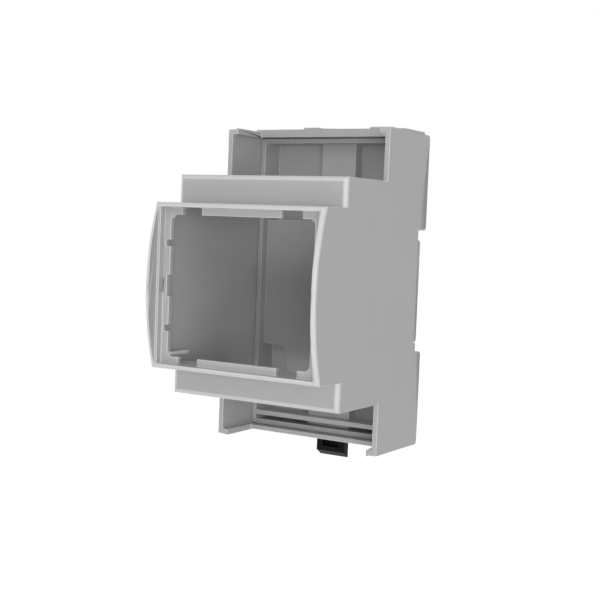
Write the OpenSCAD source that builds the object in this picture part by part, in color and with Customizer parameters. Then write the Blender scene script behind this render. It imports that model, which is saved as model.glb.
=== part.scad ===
// DIN rail enclosure, three modules wide: a moulded cover with an open front
// frame, a rear tray that closes it, and a sprung foot that grips the rail.
// The origin is the middle of the rail seat. +Y points to the rail, +Z is up,
// and depths are measured forward from the back plane of the side walls.

/* [Case] */
// Width over the two side faces
case_w = 53; // [46:0.5:72]
// Height over the side walls
case_h = 90; // [88:0.5:110]
// Depth from the back plane to the corners of the front frame
case_d = 58.7; // [56:0.1:70]
// Wall thickness of the cover
wall = 1.5; // [1.3:0.1:1.8]
// Radius of the side walls' corners at the back
back_r = 1; // [0.5:0.1:1.2]
// Gap all round between the cover and the tray
fit_gap = 0.2; // [0.15:0.05:0.4]

/* [Stepped body] */
// Height of the body that stands between the terminal rows
step_h = 61; // [56:0.5:64]
// Depth of the body's front face
step_d = 48.4; // [44:0.1:50]
// Radius of the body's front edges
step_r = 1.2; // [0.5:0.1:1.5]
// Depth of the side walls beside the terminal rows
shoulder_d = 25.5; // [20:0.5:32]

/* [Front frame] */
// Height of the frame
rim_h = 45; // [40:0.5:48]
// How far the middle of the frame bulges past its corners
rim_bulge = 3.7; // [2.5:0.1:4.5]
// Radius of the frame's outer edges
rim_r = 0.9; // [0.4:0.1:1]
// Thickness of the frame's side walls at their free edge
rim_tip = 1.2; // [1:0.05:1.4]
// Thickness of the frame's side walls beside the panel seat
rim_side = 1.9; // [1.8:0.05:2.2]
// Thickness of the frame's top and bottom walls
rim_wall = 1.3; // [1:0.05:1.5]
// How far the thin free edge stands in front of the panel seat
tip_rise = 2; // [1.5:0.1:2.5]

/* [Panel seat] */
// How far the seat's front face stands behind the frame's corners
seat_set = 1.8; // [1:0.1:3]
// Thickness of the seat
seat_t = 1.5; // [1.2:0.1:1.8]
// Reach of the seat from the side faces
seat_side = 4; // [3.5:0.1:5]
// Reach of the seat from the top and bottom faces
seat_end = 3.3; // [2.6:0.1:4]
// Length of the middle tab along the top and the bottom
tab_w = 25; // [16:0.5:28]
// Width of the gap on each side of that tab
tab_gap = 6.3; // [4:0.1:7]
// Chamfer in the inner corners of the seat
seat_chamfer = 1; // [0.6:0.1:1.5]
// Height of the narrow notches in the side seats
notch_h = 1.75; // [1:0.05:2.5]
// Distance of a narrow notch from the middle
notch_z = 11.55; // [8:0.05:13]
// Depth of a narrow notch
notch_in = 1.55; // [1:0.05:1.8]
// Height of the wide notch in the middle of a side seat
catch_h = 6; // [4.5:0.1:8]
// Depth of the wide notch
catch_in = 0.9; // [0.6:0.05:1.5]
// Height of the snap pocket above the wide notch
pocket_h = 4; // [3:0.1:4.5]
// Depth of the snap pocket into the side wall
pocket_in = 0.25; // [0.15:0.05:0.4]
// How far the snap pocket reaches in front of the seat
pocket_rise = 1.3; // [0.8:0.1:1.6]
// How far the snap pocket reaches behind the seat's front face
pocket_drop = 0.95; // [0.5:0.05:1.2]
// Diameter of the locating pins behind the lower corners
pin_dia = 1.25; // [1:0.05:1.6]
// Length of the locating pins
pin_l = 7.4; // [4:0.1:8]
// Distance of a pin's middle from the seat's inner end edge
pin_up = 0.5; // [0.3:0.05:0.6]
// Distance of a pin's middle from the seat's inner side edge
pin_in = 0.2; // [0.1:0.05:0.4]

/* [Terminal rows] */
// Depth of the top and bottom walls
end_wall_d = 13; // [12:0.5:16]
// Thickness of the top wall
top_t = 2.3; // [2:0.1:2.8]
// How far the top wall stands above the side walls
top_rise = 1; // [0.5:0.1:1.2]
// Thickness of the bottom wall
bottom_t = 1.35; // [1.2:0.05:1.8]
// Width of the lips at the ends of the side walls
lip_w = 3.3; // [2.5:0.1:4]
// Thickness of the lips
lip_t = 1.45; // [1.2:0.05:1.8]
// Height of the bead along a lip's free edge
bead = 0.3; // [0.2:0.05:0.4]
// Width of that bead
bead_w = 0.6; // [0.4:0.05:0.8]
// Radius of the nub at the root of a right-hand lip
nub_r = 0.6; // [0.4:0.05:0.7]
// Length of that nub
nub_l = 4; // [2:0.5:6]
// Height of the pads on the top wall
pad_rise = 0.45; // [0.2:0.05:0.6]
// Depth of the pads' back ends
pad_back = 3; // [2:0.5:5]
// Middle of the left pad along the width
pad_left_x = -5.75; // [-14:0.25:-4]
// Width of the left pad
pad_left_w = 5.1; // [4:0.1:8]
// Middle of the right pad along the width
pad_right_x = 17.1; // [6:0.1:18]
// Width of the right pad
pad_right_w = 7; // [4:0.1:8]

/* [Tray] */
// Depth of the tray's front edge
tray_d = 10; // [9:0.1:11.5]
// Wall thickness of the tray
tray_t = 1.4; // [1.2:0.1:1.5]
// Thickness of the tray's back
back_t = 1.5; // [1.2:0.1:1.8]
// Height of the slot in the double floor
floor_slot = 1.35; // [1.1:0.05:1.8]
// Depth of the tray's face over the rail, inside the case
bump_d = 7; // [6.6:0.1:7.8]
// Depth of the block above the rail and of the foot's neck
block_d = 6; // [5.8:0.1:6.6]
// Width of the block above the rail
block_w = 11.4; // [9:0.1:14]
// Width of the foot's neck
neck_w = 14; // [13.4:0.1:15]
// Width of the spring chamber under the rail
chamber_w = 32.8; // [31.5:0.1:34]
// Draw-in of the spring chamber's sides, per millimetre of height
chamber_draw = 0.265; // [0.2:0.005:0.28]
// Height of the spring chamber
chamber_h = 14.9; // [14.2:0.1:16]
// Height over which the chamber closes in on the foot's neck
chamber_end = 1.7; // [1:0.1:2.5]
// Reach of the snap noses from the tray's sides
catch_out = 0.6; // [0.4:0.05:0.7]
// Length of a snap nose
catch_l = 8; // [5:0.5:10]
// Distance of the snap noses from the middle
catch_z = 30; // [26:0.5:34]
// Distance of a snap nose from the tray's front edge
catch_set = 1.3; // [1:0.1:2]
// Depth of a snap nose's flat crest
catch_flat = 1; // [0.6:0.1:1.4]
// Depth of the slope behind that crest
catch_slope = 1.7; // [1:0.1:2.5]

/* [Rail] */
// Width of the top-hat rail
rail_w = 35; // [35:0.1:35.4]
// Thickness of the rail's flanges
rail_t = 1; // [0.9:0.05:1.2]
// Play of the rail in the recess and behind the hooks
rail_play = 0.1; // [0.05:0.05:0.2]
// Depth of the rail seat below the back plane
seat_in = 3; // [2.8:0.1:3.4]
// Depth of the side walls' recess under the seat's ends
recess_d = 5; // [4.8:0.1:5.4]
// How much shallower that recess is above the seat's ends
recess_rise = 0.2; // [0.1:0.05:0.4]
// How much shallower it is at its lower end
recess_foot = 1.4; // [0.8:0.1:1.6]
// Height of that lower end
recess_foot_h = 2.6; // [2:0.1:3]
// Depth of the groove at the lower end of the seat
groove = 0.5; // [0.3:0.05:0.6]
// Length of the rail seat along the height
land_h = 29.5; // [26:0.5:30]
// Radius of the rail seat's upper and lower edges
land_r = 1.2; // [0.8:0.1:1.5]
// How far the seat's ends stand inside the side faces
land_set = 0.2; // [0.1:0.05:0.4]
// Width of the land at each end of the seat
side_land = 7.4; // [5:0.1:9]
// Height of the seat's edge above and below its reliefs
relief_edge = 3; // [2:0.5:5]
// How far each hook reaches behind a flange
hook_reach = 1.7; // [1.2:0.1:2.2]
// Width of the fixed hook
hook_w = 18; // [12:0.5:24]
// Depth of both hooks' blunt edge, in front of the lead-in slope
hook_edge = 0.7; // [0.5:0.05:0.9]
// Height of the fixed hook's lead-in slope
hook_lead = 0.9; // [0.6:0.1:1.2]

/* [Foot] */
// Width of the foot
foot_w = 9.6; // [9:0.1:10]
// Thickness of the foot's plate
foot_t = 1.8; // [1.6:0.1:2]
// How far the foot reaches below the case
foot_drop = 6.9; // [6:0.1:8]
// How far the foot's lower face slopes down from front to back
foot_slope = 1.7; // [1:0.1:2]
// Thickness of the foot's end below the case
foot_end_t = 2.6; // [2.2:0.1:3]
// Height of the slope on the foot's nose
foot_lead = 1.5; // [1:0.1:1.6]
// Width of the rib that runs in the tray's back slot
rib_w = 7.8; // [6.5:0.1:8]
// Clearance of the foot in its guides
foot_gap = 0.3; // [0.2:0.05:0.35]
// Width of the screwdriver slot
driver_w = 5.7; // [5:0.1:6.5]
// Height of the screwdriver slot
driver_h = 2.5; // [1.5:0.1:2.8]
// Distance of the screwdriver slot from the foot's lower edge
driver_up = 3.2; // [2.5:0.1:3.5]
// Thickness left behind the screwdriver slot
driver_floor = 0.6; // [0.4:0.05:0.8]
// Radius of the spring arms
arm_r = 6; // [5.5:0.1:6]
// Thickness of the spring arms
arm_t = 1.2; // [0.8:0.1:1.2]
// Distance of the arms' roots from the foot's upper end
arm_drop = 2; // [1.5:0.1:2.5]
// Angle above the horizontal at which the arms end
arm_end = 15; // [10:1:25]

/* [Hidden] */
$fn = 64;
over = 1;                                  // how far a cut runs past a face
in_w = case_w - 2 * wall;                  // clear width inside the cover
half_h = case_h / 2;
recess_h = rail_w + 2 * rail_play;
flange_z = recess_h / 2;                   // edge of the rail recess
hook_d = seat_in - rail_t - rail_play;     // depth of the plane behind the flanges
shell_in = hook_d - back_t;                // depth of the tray's outer face
guide_w = foot_w + 2 * foot_gap;           // width of the foot's guide
top_in = half_h + top_rise - top_t;        // underside of the top wall
bottom_in = half_h - bottom_t;             // upper face of the bottom wall
rim_in_h = rim_h - 2 * rim_wall;
seat_d = case_d - seat_set;                // depth of the panel seat's front face
seat_low = seat_d - seat_t;                // depth of its back face
tip_d = seat_d + tip_rise;
well_d = shoulder_d - wall;                // depth where the body's end walls stop
rim_R = (pow(rim_h / 2, 2) + pow(rim_bulge, 2)) / (2 * rim_bulge);
rim_axis_d = case_d + rim_bulge - rim_R;   // depth of the bulge's axis
tray_w = in_w - 2 * fit_gap;
tray_top = top_in - fit_gap;
tray_low = -bottom_in + fit_gap / 2;
floor_z = tray_low + 2 * tray_t + floor_slot;
chamber_z = -flange_z - back_t;            // ceiling of the spring chamber
neck_z = chamber_z - chamber_h;            // where the chamber meets the neck
rib_d = hook_d + foot_gap;                 // depth of the foot plate's back face
foot_d = rib_d + foot_t;                   // depth of the foot's front face
foot_low = -half_h - foot_drop;
foot_top = chamber_z - foot_gap;
end_top = -half_h - foot_gap;              // upper face of the foot's thick end
catch_d = tray_d - catch_set;              // depth of the snap noses' front
catch_depth = catch_flat + catch_slope;
root = 0.2;                                // how far an added form runs into its wall

function at(depth) = seat_in - depth;      // place in Y of a depth

// A rectangle centred on the origin
module plate(w, h) { square([w, h], center = true); }

// Extrudes a drawing in X and Z between two depths
module slab(front, back) {
    translate([0, at(back), 0]) rotate([90, 0, 0]) linear_extrude(front - back) children();
}

// Extrudes a drawing in Y and Z across the width
module across(w) {
    rotate([90, 0, 90]) translate([0, 0, -w / 2]) linear_extrude(w) children();
}

// A rectangle in Y and Z between two depths and two heights
module band(front, back, low, high) {
    translate([at(front), low]) square([front - back, high - low]);
}

// What an outside corner at the origin loses when it is rounded;
// the material lies towards the side given by sy and sz
module corner_loss(r, sy, sz) {
    mirror([sy > 0 ? 0 : 1, 0]) mirror([0, sz > 0 ? 0 : 1]) difference() {
        translate([-over, -over]) square(r + over);
        translate([r, r]) circle(r);
    }
}

module both_sides() {
    children();
    mirror([1, 0, 0]) children();
}

module both_ends() {
    children();
    mirror([0, 0, 1]) children();
}

// ---- cover ----------------------------------------------------------------

// The stepped body, with rounded front edges on all four sides
module step_block() {
    intersection() {
        across(case_w) difference() {
            band(step_d, 0, -step_h / 2, step_h / 2);
            for (s = [-1, 1])
                translate([at(step_d), s * step_h / 2]) corner_loss(step_r, 1, -s);
        }
        translate([0, 0, -step_h / 2]) linear_extrude(step_h) difference() {
            translate([-case_w / 2, at(step_d)]) square([case_w, step_d]);
            for (s = [-1, 1])
                translate([s * case_w / 2, at(step_d)]) corner_loss(step_r, -s, 1);
        }
    }
}

// The front frame's outline in Y and Z: flat ends, a bulged front, and a
// round where they meet
module rim_outline() {
    centre_z = rim_h / 2 - rim_r;
    centre_d = rim_axis_d + sqrt(pow(rim_R - rim_r, 2) - pow(centre_z, 2));
    lean = asin(centre_z / (rim_R - rim_r));
    reach = rim_r + over;
    difference() {
        band(case_d + rim_bulge, step_d - wall, -rim_h / 2, rim_h / 2);
        for (s = [-1, 1]) translate([at(centre_d), s * centre_z]) difference() {
            polygon([[0, 0], [0, s * reach], [-2 * reach, s * reach],
                     2 * reach * [-cos(lean), s * sin(lean)]]);
            circle(rim_r);
        }
    }
}

// The bulged front itself, turned about an axis across the case
module rim_block() {
    intersection() {
        across(case_w) rim_outline();
        translate([0, at(rim_axis_d), 0]) rotate([0, 90, 0])
            rotate_extrude($fn = 256) difference() {
                translate([0, -case_w / 2]) square([rim_R, case_w]);
                for (s = [-1, 1])
                    translate([rim_R, s * case_w / 2]) corner_loss(rim_r, -1, -s);
            }
    }
}

// Opening of the panel seat: straight sides, tabs at both ends, notches
module seat_opening() {
    w = case_w - 2 * seat_side;
    h = rim_h - 2 * seat_end;
    c = seat_chamfer;
    polygon([for (sx = [-1, 1], p = sx < 0 ? [[0, 1], [1, 0]] : [[1, 0], [0, 1]])
                 [sx * (w / 2 - c * p[0]), h / 2 - c * p[1]],
             for (sx = [1, -1], p = sx > 0 ? [[0, 1], [1, 0]] : [[1, 0], [0, 1]])
                 [sx * (w / 2 - c * p[0]), -h / 2 + c * p[1]]]);
    for (s = [-1, 1]) {
        translate([s * (tab_w + tab_gap) / 2, 0]) plate(tab_gap, rim_in_h);
        for (z = [-notch_z, notch_z])
            translate([s * (w / 2 + notch_in / 2 - over / 2), z]) plate(notch_in + over, notch_h);
        translate([s * (w / 2 + catch_in / 2 - over / 2), 0]) plate(catch_in + over, catch_h);
    }
}

// Everything that the cover is open for, from the front frame to the back
module cover_hollow() {
    slab(case_d + rim_bulge + over, tip_d) plate(case_w - 2 * rim_tip, rim_in_h);
    slab(tip_d, seat_d) plate(case_w - 2 * rim_side, rim_in_h);
    slab(seat_d, seat_low) seat_opening();
    slab(seat_low, step_d - wall) plate(in_w, rim_in_h);
    slab(step_d - wall, well_d) plate(in_w, step_h - 2 * wall);
    slab(well_d, -over) plate(in_w, case_h + 2 * over);
    both_ends() slab(shoulder_d + over, well_d)
        translate([-in_w / 2, step_h / 2]) square([in_w, half_h + over - step_h / 2]);
    // snap pockets beside the wide notches
    both_sides() slab(seat_d + pocket_rise, seat_d - pocket_drop)
        translate([case_w / 2 - rim_side, 0]) plate(2 * pocket_in, pocket_h);
}

// The rail recess in the edge of each side wall, with its groove and the
// rounds at its mouth
module recess_outline() {
    band(recess_d - recess_rise, -over, recess_foot_h - flange_z, flange_z);
    band(recess_d, -over, -land_h / 2, land_h / 2);
    band(recess_d - recess_foot, -over, -flange_z, flange_z);
    translate([at(recess_d), -land_h / 2])
        polygon([[0, groove], [-2 * groove, 0], [0, -groove]]);
    for (s = [-1, 1])
        translate([at(0), s * flange_z]) corner_loss(back_r, -1, s);
}

// A lip that holds a terminal cover, with the bead along its free edge
module lip() {
    slab(shoulder_d, end_wall_d - wall) translate([case_w / 2 - lip_w, half_h - lip_t]) {
        square([lip_w, lip_t]);
        square([bead_w, lip_t + bead]);
    }
}

// A nub at the root of a lip, beside the side wall
module lip_nub() {
    slab(shoulder_d - bead, shoulder_d - bead - nub_l)
        translate([in_w / 2 - nub_r, half_h - lip_t]) circle(nub_r);
}

// A pad on the top wall, given by its middle and its width
module pad(x, w) {
    slab(end_wall_d, pad_back)
        translate([x - w / 2, half_h]) square([w, top_rise + pad_rise]);
}

module cover() {
    color("#b4b4b4") difference() {
        union() {
            difference() {
                union() {
                    across(case_w) difference() {
                        band(shoulder_d, 0, -half_h, half_h);
                        for (s = [-1, 1])
                            translate([at(0), s * half_h]) corner_loss(back_r, -1, -s);
                    }
                    step_block();
                    rim_block();
                }
                cover_hollow();
            }
            both_sides() both_ends() lip();
            both_ends() lip_nub();
            // top wall with its pads, and bottom wall
            slab(end_wall_d, shell_in) {
                translate([-in_w / 2, top_in]) square([in_w, top_t]);
                translate([-in_w / 2, -half_h]) square([in_w, bottom_t]);
            }
            pad(pad_left_x, pad_left_w);
            pad(pad_right_x, pad_right_w);
            // locating pins behind the lower corners of the panel seat
            both_sides() slab(seat_low + root, seat_low - pin_l)
                translate([case_w / 2 - seat_side - pin_in, seat_end + pin_up - rim_h / 2])
                    circle(d = pin_dia);
        }
        across(case_w + 2 * over) recess_outline();
        // pockets for the tray's snap noses
        both_sides() both_ends()
            slab(catch_d + fit_gap, catch_d - catch_depth - fit_gap)
                translate([in_w / 2, catch_z]) plate(2 * catch_out, catch_l + 2 * fit_gap);
        // notch for the foot in the bottom wall
        slab(foot_d + foot_gap, -over)
            translate([-guide_w / 2, -half_h - over]) square([guide_w, bottom_t + 2 * over]);
    }
}

// ---- base -----------------------------------------------------------------

// Outline of the spring chamber in X and Z; inset moves its walls inward
module chamber_outline(inset) {
    top_x = chamber_w / 2 - inset;
    low_x = top_x - chamber_draw * chamber_h;
    neck_x = neck_w / 2;
    polygon([[-top_x, chamber_z], [top_x, chamber_z],
             [low_x, neck_z + inset], [neck_x - inset, neck_z + inset - chamber_end],
             [inset - neck_x, neck_z + inset - chamber_end], [-low_x, neck_z + inset]]);
}

// The shell of the tray: side walls, top wall, double floor and back
module tray_shell() {
    difference() {
        slab(tray_d, shell_in)
            translate([-tray_w / 2, tray_low]) square([tray_w, tray_top - tray_low]);
        slab(tray_d + over, hook_d) {
            translate([-tray_w / 2 + tray_t, floor_z])
                square([tray_w - 2 * tray_t, tray_top - tray_t - floor_z]);
            translate([-tray_w / 2 + tray_t, tray_low + tray_t])
                square([tray_w - 2 * tray_t, floor_slot]);
        }
    }
}

// The rail seat: a land that also laps over the edges of the side walls
module rail_seat() {
    land_w = case_w - 2 * land_set;
    difference() {
        across(land_w) difference() {
            band(recess_d, seat_in, -land_h / 2, land_h / 2);
            for (s = [-1, 1])
                translate([at(seat_in), s * land_h / 2]) corner_loss(land_r, -1, -s);
        }
        // relief between the middle land and the side lands
        both_sides() slab(recess_d, seat_in - over)
            translate([hook_w / 2, relief_edge - land_h / 2])
                square([land_w / 2 - side_land - hook_w / 2, land_h - 2 * relief_edge]);
    }
}

// The fixed hook above the rail, with a lead-in slope behind
module fixed_hook() {
    low = flange_z - hook_reach;
    across(hook_w) polygon([[at(hook_d), flange_z + wall], [at(hook_d), low],
                            [at(hook_d - hook_edge), low], [at(shell_in), low + hook_lead],
                            [at(shell_in), flange_z + wall]]);
}

// A snap nose on a side wall of the tray
module snap_nose() {
    x = tray_w / 2;
    translate([0, 0, catch_z - catch_l / 2]) linear_extrude(catch_l)
        polygon([[x - root, at(catch_d)], [x + catch_out, at(catch_d)],
                 [x + catch_out, at(catch_d - catch_flat)], [x, at(catch_d - catch_depth)],
                 [x - root, at(catch_d - catch_depth)]]);
}

module base() {
    color("#a8a8a8") difference() {
        union() {
            tray_shell();
            slab(bump_d, shell_in) plate(tray_w, recess_h + 2 * back_t);
            slab(block_d, shell_in) {
                translate([-block_w / 2, flange_z]) square([block_w, tray_top - flange_z]);
                translate([-neck_w / 2, tray_low]) square([neck_w, neck_z - tray_low]);
            }
            slab(bump_d, shell_in) chamber_outline(0);
            both_sides() both_ends() snap_nose();
        }
        // rail recess, block above it, spring chamber and the foot's guide
        slab(recess_d, -over) plate(case_w, recess_h);
        slab(block_d - back_t, -over)
            translate([-block_w / 2 + back_t, flange_z + back_t])
                square([block_w - 2 * back_t, tray_top - tray_t - flange_z - back_t - back_t]);
        slab(bump_d - back_t, -over) chamber_outline(back_t);
        slab(foot_d + foot_gap, hook_d)
            translate([-guide_w / 2, tray_low - over])
                square([guide_w, neck_z - tray_low + over + back_t]);
        slab(rib_d, -over)
            translate([-rib_w / 2 - foot_gap, tray_low - over])
                square([rib_w + 2 * foot_gap, -flange_z - tray_low + 2 * over]);
    }
    color("#a8a8a8") {
        rail_seat();
        fixed_hook();
    }
}

// ---- rail foot ------------------------------------------------------------

// A face of the foot in X and Z, given by its width, its low and its high edge
module foot_face(w, low, high) {
    translate([-w / 2, low]) square([w, high - low]);
}

// One spring arm: a quarter ring from the foot's shoulder out and down
module spring_arm() {
    translate([foot_w / 2, foot_top - arm_drop - arm_r]) difference() {
        intersection() {
            circle(arm_r + arm_t / 2);
            polygon([[-root, 0], [-root, 2 * arm_r], [2 * arm_r, 2 * arm_r],
                     [2 * arm_r, 2 * arm_r * tan(arm_end)]]);
        }
        circle(arm_r - arm_t / 2);
    }
}

// The thick end below the case: a block with a sloping lower face
module foot_end() {
    end_back = foot_d - foot_end_t;
    across(foot_w) polygon([[at(foot_d), end_top], [at(foot_d), foot_low + foot_slope],
                            [at(end_back), foot_low], [at(end_back), end_top]]);
}

// The nose behind the rail's lower flange, with a lead-in slope
module foot_nose() {
    nose = hook_reach - flange_z;
    across(rib_w) polygon([[at(hook_d), -flange_z - over], [at(hook_d), nose],
                           [at(hook_d - hook_edge), nose], [at(shell_in), nose - foot_lead],
                           [at(shell_in), -flange_z - over]]);
}

module rail_foot() {
    color("#262626") difference() {
        union() {
            slab(foot_d, rib_d) {
                foot_face(foot_w, end_top, foot_top);
                spring_arm();
                mirror([1, 0]) spring_arm();
            }
            slab(rib_d, shell_in) foot_face(rib_w, end_top, -flange_z);
            foot_end();
            foot_nose();
        }
        slab(foot_d + over, foot_d - foot_end_t + driver_floor)
            foot_face(driver_w, foot_low + driver_up, foot_low + driver_up + driver_h);
    }
}

cover();
base();
rail_foot();
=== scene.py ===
from math import cos, radians, sin

import bmesh
import bpy
from mathutils import Matrix, Vector


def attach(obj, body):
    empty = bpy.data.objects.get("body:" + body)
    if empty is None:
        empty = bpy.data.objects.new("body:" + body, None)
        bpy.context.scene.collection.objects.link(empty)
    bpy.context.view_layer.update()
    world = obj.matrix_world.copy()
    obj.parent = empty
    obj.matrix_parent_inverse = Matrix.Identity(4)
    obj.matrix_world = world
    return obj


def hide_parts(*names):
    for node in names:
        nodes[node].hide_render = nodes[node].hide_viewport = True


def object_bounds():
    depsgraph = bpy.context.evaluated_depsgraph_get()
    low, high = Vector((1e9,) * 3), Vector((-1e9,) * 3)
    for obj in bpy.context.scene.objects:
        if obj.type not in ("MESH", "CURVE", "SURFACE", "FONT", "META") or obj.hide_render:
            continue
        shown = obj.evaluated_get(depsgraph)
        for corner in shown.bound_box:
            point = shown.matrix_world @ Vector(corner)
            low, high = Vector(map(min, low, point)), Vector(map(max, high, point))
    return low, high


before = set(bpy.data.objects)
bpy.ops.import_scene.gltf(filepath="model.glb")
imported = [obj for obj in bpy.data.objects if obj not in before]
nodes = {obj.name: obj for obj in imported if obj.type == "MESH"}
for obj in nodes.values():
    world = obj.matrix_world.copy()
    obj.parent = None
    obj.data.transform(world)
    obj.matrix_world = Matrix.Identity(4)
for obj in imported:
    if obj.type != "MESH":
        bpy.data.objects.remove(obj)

cad_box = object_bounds()
scene = bpy.context.scene
scene.view_settings.view_transform = "Standard"

# ---- Camera -----------------------------------------------------------------
# A long lens a little above mid height and to the right of the front, almost
# level, so that the terminal rows show above and below the stepped body.
# Places are in metres, turns in degrees, lens and sensor in millimetres.
lens_place = (0.16758, -0.3016, 0.01708)
lens_turn = 30.96
lens_dip = 3.62
lens_roll = 2.28
lens_length = 68.78
sensor_width = 36.0
near_limit = 0.01
camera_data = bpy.data.cameras.new("camera")
camera_data.sensor_width = sensor_width
camera_data.lens = lens_length
camera_data.clip_start = near_limit
camera = bpy.data.objects.new("camera", camera_data)
scene.collection.objects.link(camera)
camera.matrix_world = (Matrix.Translation(lens_place)
                       @ Matrix.Rotation(radians(lens_turn), 4, "Z")
                       @ Matrix.Rotation(radians(90 - lens_dip), 4, "X")
                       @ Matrix.Rotation(radians(lens_roll), 4, "Z"))
scene.camera = camera

# ---- Light tent ---------------------------------------------------------------
# White cloth all round. The air gives the even light, and five softboxes, in
# front, above, right, left and below, draw the moulded edges. The lens and
# mirrored rays see the cloth itself, at plain white.
cloth_level = 1.0
air_level = 0.30
cloth_white = (1, 1, 1, 1)


def straight_sight(tree):
    """1 for rays from the lens, mirrored rays and rays through a clear body."""
    ray = tree.nodes.new("ShaderNodeLightPath")
    bent = tree.nodes.new("ShaderNodeMath")
    bent.operation = "MAXIMUM"
    tree.links.new(ray.outputs["Is Glossy Ray"], bent.inputs[0])
    tree.links.new(ray.outputs["Is Transmission Ray"], bent.inputs[1])
    seen = tree.nodes.new("ShaderNodeMath")
    seen.operation = "MAXIMUM"
    tree.links.new(ray.outputs["Is Camera Ray"], seen.inputs[0])
    tree.links.new(bent.outputs[0], seen.inputs[1])
    return seen.outputs[0]


def softbox(name, turn, rise, reach, width, height, power):
    """A softbox aimed at the case: turn from the front, rise above level."""
    data = bpy.data.lights.new(name, "AREA")
    data.shape = "RECTANGLE"
    data.size = width
    data.size_y = height
    data.energy = power
    lamp = bpy.data.objects.new(name, data)
    scene.collection.objects.link(lamp)
    way = Vector((sin(radians(turn)) * cos(radians(rise)),
                  -cos(radians(turn)) * cos(radians(rise)),
                  sin(radians(rise))))
    lamp.location = way * reach
    lamp.rotation_euler = (-way).to_track_quat("-Z", "Y").to_euler()
    lamp.visible_camera = False


world = bpy.data.worlds.new("light_tent")
scene.world = world
world.use_nodes = True
sky = world.node_tree
sky.nodes.clear()
sky_out = sky.nodes.new("ShaderNodeOutputWorld")
sky_mix = sky.nodes.new("ShaderNodeMixShader")
sky.links.new(straight_sight(sky), sky_mix.inputs[0])
for side, level in ((1, air_level), (2, cloth_level)):
    glow = sky.nodes.new("ShaderNodeBackground")
    glow.inputs["Color"].default_value = cloth_white
    glow.inputs["Strength"].default_value = level
    sky.links.new(glow.outputs[0], sky_mix.inputs[side])
sky.links.new(sky_mix.outputs[0], sky_out.inputs[0])

softbox("box_front", turn=36, rise=0, reach=0.60, width=0.22, height=0.22, power=1.00)
softbox("box_above", turn=10, rise=46, reach=0.70, width=0.45, height=0.40, power=1.10)
softbox("box_right", turn=62, rise=4, reach=0.75, width=0.30, height=0.50, power=0.60)
softbox("box_left", turn=-65, rise=0, reach=0.75, width=0.30, height=0.50, power=1.00)
softbox("box_below", turn=15, rise=-34, reach=0.70, width=0.45, height=0.30, power=1.60)

# ---- Floor --------------------------------------------------------------------
# A pale sheet well below the case. The case's shadow stays in the light that the
# sheet throws back; to the lens the sheet glows at plain white, like the cloth,
# and the shadow does not show.
floor_drop = 0.30
floor_half = 1.6
sheet_pale = (0.9, 0.9, 0.9, 1)
sheet_dim = (0.12, 0.12, 0.12, 1)
sheet_glow = 1.0
floor_mesh = bpy.data.meshes.new("floor")
floor_mesh.from_pydata([(x * floor_half, y * floor_half, 0)
                        for x, y in ((-1, -1), (1, -1), (1, 1), (-1, 1))],
                       [], [(0, 1, 2, 3)])
floor = bpy.data.objects.new("floor", floor_mesh)
floor.location = (0, 0, cad_box[0][2] - floor_drop)
scene.collection.objects.link(floor)
sheet = bpy.data.materials.new("pale_sheet")
sheet.use_nodes = True
weave = sheet.node_tree
weave.nodes.clear()
weave_out = weave.nodes.new("ShaderNodeOutputMaterial")
weave_mix = weave.nodes.new("ShaderNodeMixShader")
plain = weave.nodes.new("ShaderNodeBsdfDiffuse")
plain.inputs["Color"].default_value = sheet_pale
shine = weave.nodes.new("ShaderNodeEmission")
shine.inputs["Strength"].default_value = sheet_glow
dim = weave.nodes.new("ShaderNodeBsdfDiffuse")
dim.inputs["Color"].default_value = sheet_dim
lit = weave.nodes.new("ShaderNodeAddShader")
weave.links.new(shine.outputs[0], lit.inputs[0])
weave.links.new(dim.outputs[0], lit.inputs[1])
weave.links.new(straight_sight(weave), weave_mix.inputs[0])
weave.links.new(plain.outputs[0], weave_mix.inputs[1])
weave.links.new(lit.outputs[0], weave_mix.inputs[2])
weave.links.new(weave_mix.outputs[0], weave_out.inputs[0])
floor_mesh.materials.append(sheet)

# ---- Cover --------------------------------------------------------------------
# The stepped shell with its bulged front frame, injection moulded in light
# grey plastic. The tool's spark-eroded face leaves a fine matt grain, and its
# edges come out slightly rounded. The rounds and sloped faces are painted a
# lighter grey: a painted highlight.
cover_grey = (0.47, 0.47, 0.47)
cover_gloss = 0.36
cover_grain = 0.35
cover_fleck = 0.02
# lighter grey of the rounded edges and sloped faces: a painted highlight
cover_painted_highlight = (0.65, 0.65, 0.65)
cover_edge_gloss = 0.30
cover_edge_grain = 0.15
cover_edge_fleck = 0.01
cover_edge = 0.00016
merge_gap = 1e-6
flat_turn = 0.8
sharp_turn = 28
least_edge = 0.0006
least_area = 4e-7
flat_face = 0.9998
edge_steps = 2
broad_pull = 90
plastic_bend = 1.5
gloss_wander = 0.05
cloud_scale = 55.0
cloud_detail = 3.0
cloud_low = 0.3
cloud_high = 0.7
wander_scale = 900.0
wander_detail = 2.0
pit_scale = 5200.0
pit_detail = 3.0
pit_rough = 0.6
pit_depth = 0.00003


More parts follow.
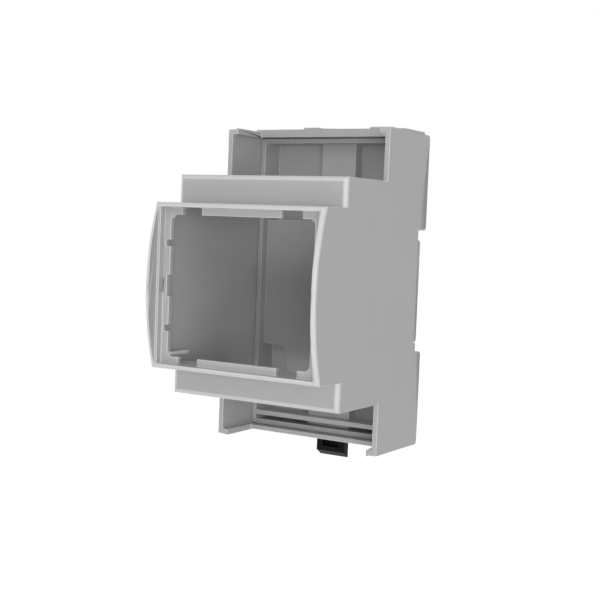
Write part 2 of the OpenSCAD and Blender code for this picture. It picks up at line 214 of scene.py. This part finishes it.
def moulded_shell(name, node, edge, plastic, highlight_plastic):
    """The shape of a CAD node as one closed skin, its edges slightly rounded; the rounds
    and sloped faces take the lighter second material, a painted highlight.
    """
    mesh = nodes[node].data.copy()
    mesh.name = name
    mesh.materials.clear()
    skin = bmesh.new()
    skin.from_mesh(mesh)
    bmesh.ops.remove_doubles(skin, verts=skin.verts, dist=merge_gap)
    bmesh.ops.dissolve_limit(skin, angle_limit=radians(flat_turn), verts=skin.verts,
                             edges=skin.edges)
    weight = skin.edges.layers.float.new("bevel_weight_edge")
    for face in skin.faces:
        face.smooth = True
        # faces not square to an axis (rounds, slopes) get the lighter material: painted
        # highlight
        face.material_index = int(max(abs(part) for part in face.normal) < flat_face)
    for line in skin.edges:
        if len(line.link_faces) != 2 or line.calc_face_angle() < radians(sharp_turn):
            continue
        broad = min(face.calc_area() for face in line.link_faces) > least_area
        if broad and line.calc_length() > least_edge:
            line[weight] = 1.0
        else:
            line.smooth = False
    skin.to_mesh(mesh)
    skin.free()
    mesh.materials.append(plastic)
    mesh.materials.append(highlight_plastic)
    piece = bpy.data.objects.new(name, mesh)
    scene.collection.objects.link(piece)
    rounding = piece.modifiers.new("rounded_edges", "BEVEL")
    rounding.limit_method = "WEIGHT"
    rounding.width = edge
    rounding.segments = edge_steps
    # the bevel faces get the lighter material too: painted highlight
    rounding.material = 1
    rounding.use_clamp_overlap = False
    even = piece.modifiers.new("even_shading", "WEIGHTED_NORMAL")
    even.keep_sharp = True
    even.weight = broad_pull
    return piece


def speckle(tree, place, scale, detail):
    """Noise fixed in the moulding, linked to the piece's own place."""
    noise = tree.nodes.new("ShaderNodeTexNoise")
    noise.inputs["Scale"].default_value = scale
    noise.inputs["Detail"].default_value = detail
    tree.links.new(place.outputs["Object"], noise.inputs["Vector"])
    return noise


def moulded_plastic(name, colour, gloss, grain, fleck, bend=plastic_bend):
    """Plastic from a spark-eroded tool: grain in the surface, faint flow
    clouds in the colour, and a gloss that wanders a little."""
    material = bpy.data.materials.new(name)
    material.use_nodes = True
    tree = material.node_tree
    shader = tree.nodes["Principled BSDF"]
    shader.inputs["IOR"].default_value = bend
    place = tree.nodes.new("ShaderNodeTexCoord")

    clouds = speckle(tree, place, cloud_scale, cloud_detail)
    tint = tree.nodes.new("ShaderNodeValToRGB")
    low, high = tint.color_ramp.elements
    low.position = cloud_low
    high.position = cloud_high
    low.color = (*[part * (1 - fleck) for part in colour], 1)
    high.color = (*[part * (1 + fleck) for part in colour], 1)
    tree.links.new(clouds.outputs["Fac"], tint.inputs["Fac"])
    tree.links.new(tint.outputs["Color"], shader.inputs["Base Color"])

    wander = speckle(tree, place, wander_scale, wander_detail)
    span = tree.nodes.new("ShaderNodeMapRange")
    span.inputs["To Min"].default_value = gloss - gloss_wander
    span.inputs["To Max"].default_value = gloss + gloss_wander
    tree.links.new(wander.outputs["Fac"], span.inputs["Value"])
    tree.links.new(span.outputs["Result"], shader.inputs["Roughness"])

    pits = speckle(tree, place, pit_scale, pit_detail)
    pits.inputs["Roughness"].default_value = pit_rough
    relief = tree.nodes.new("ShaderNodeBump")
    relief.inputs["Strength"].default_value = grain
    relief.inputs["Distance"].default_value = pit_depth
    tree.links.new(pits.outputs["Fac"], relief.inputs["Height"])
    tree.links.new(relief.outputs["Normal"], shader.inputs["Normal"])
    return material


grey_plastic = moulded_plastic("cover_plastic", cover_grey, cover_gloss, cover_grain,
                               cover_fleck)
# second material, for the rounds and sloped faces, is lighter: a painted highlight
grey_highlight_edges = moulded_plastic("cover_highlight_edges", cover_painted_highlight, cover_edge_gloss,
                             cover_edge_grain, cover_edge_fleck)
cover = moulded_shell("cover_shell", "cover", cover_edge, grey_plastic, grey_highlight_edges)
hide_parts("cover")
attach(cover, "housing")

# ---- Tray ---------------------------------------------------------------------
# The rear tray with the rail seat, the fixed hook and the spring chamber, in
# the same plastic a shade darker; it snaps into the cover from behind.
tray_grey = (0.44, 0.44, 0.44)
tray_gloss = 0.40
tray_grain = 0.35
tray_fleck = 0.02
# lighter grey of the tray's rounded edges and sloped faces: a painted highlight
tray_painted_highlight = (0.56, 0.56, 0.56)
tray_edge_gloss = 0.36
tray_edge_grain = 0.15
tray_edge_fleck = 0.01
tray_edge = 0.00012
tray_plastic = moulded_plastic("tray_plastic", tray_grey, tray_gloss, tray_grain,
                               tray_fleck)
# second material, for the rounds and sloped faces, is lighter: a painted highlight
tray_highlight_edges = moulded_plastic("tray_highlight_edges", tray_painted_highlight, tray_edge_gloss,
                             tray_edge_grain, tray_edge_fleck)
tray = moulded_shell("rear_tray", "base", tray_edge, tray_plastic, tray_highlight_edges)
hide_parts("base")
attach(tray, "housing")

# ---- Rail foot ----------------------------------------------------------------
# The black foot, one moulding, that slides in the tray and grips the rail; a
# screwdriver in its pocket draws it down against its own spring arms.
foot_black = (0.005, 0.005, 0.005)
foot_gloss = 0.50
foot_grain = 0.3
foot_fleck = 0.05
# lighter black of the foot's rounded edges and sloped faces: a painted highlight
foot_painted_highlight = (0.009, 0.009, 0.009)
foot_edge_gloss = 0.45
foot_edge_grain = 0.15
foot_bend = 1.18
foot_edge = 0.00014
black_plastic = moulded_plastic("foot_plastic", foot_black, foot_gloss, foot_grain,
                                foot_fleck, foot_bend)
# second material, for the rounds and sloped faces, is lighter: a painted highlight
black_highlight_edges = moulded_plastic("foot_highlight_edges", foot_painted_highlight, foot_edge_gloss,
                              foot_edge_grain, foot_fleck, foot_bend)
foot = moulded_shell("sliding_foot", "rail_foot", foot_edge, black_plastic, black_highlight_edges)
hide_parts("rail_foot")
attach(foot, "foot")
